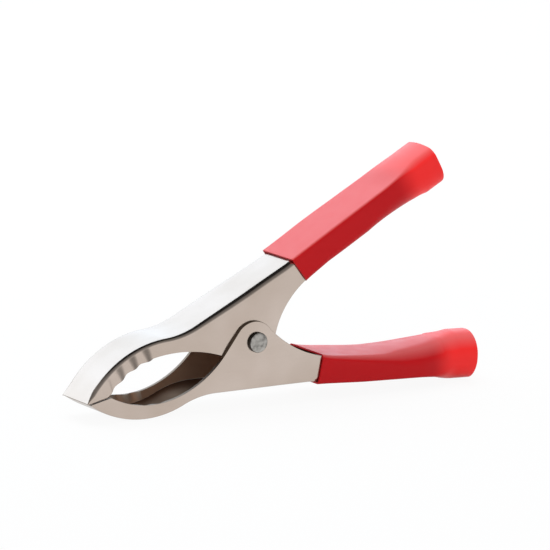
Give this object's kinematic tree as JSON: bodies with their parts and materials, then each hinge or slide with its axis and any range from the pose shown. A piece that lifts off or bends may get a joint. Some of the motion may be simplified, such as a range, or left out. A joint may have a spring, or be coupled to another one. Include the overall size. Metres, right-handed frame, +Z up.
{
  "type": "battery clip",
  "caption": "Spring battery clip: pressed-steel levers on a rivet, wavy-toothed jaws closed by a torsion spring, soft sleeves on the handles that take a cable.",
  "frame": {"origin": "centre of the box's bottom, with the clip standing on its lower jaw and on the end of its lower sleeve, jaws closed", "axes": "+X from the jaws towards the handles, +Y along the rivet from its peened end to its head, +Z up"},
  "size_m": [0.1018, 0.0154, 0.0552],
  "materials": {
    "lever_nickel": "nickel-plated pressed steel, satin",
    "rivet_steel": "plated steel with a peened, slightly pitted end",
    "spring_steel": "drawn spring wire",
    "sleeve_vinyl": "soft red vinyl, semi-gloss"
  },
  "bodies": {
    "lower_half": {"lower_lever": "lever_nickel", "lower_sleeve": "sleeve_vinyl", "pivot_rivet": "rivet_steel", "torsion_spring": "spring_steel"},
    "upper_half": {"upper_lever": "lever_nickel", "upper_sleeve": "sleeve_vinyl"}
  },
  "joints": [
    {"name": "jaw_hinge", "type": "hinge", "parent": "lower_half", "child": "upper_half", "pos_m": [-0.00885, 0, 0.01473], "axis": [0, 1, 0], "range_deg": [0, 32], "stiffness_Nm_per_rad": 0.95, "springref_deg": -34.38, "deforming": ["torsion_spring"]}
  ]
}
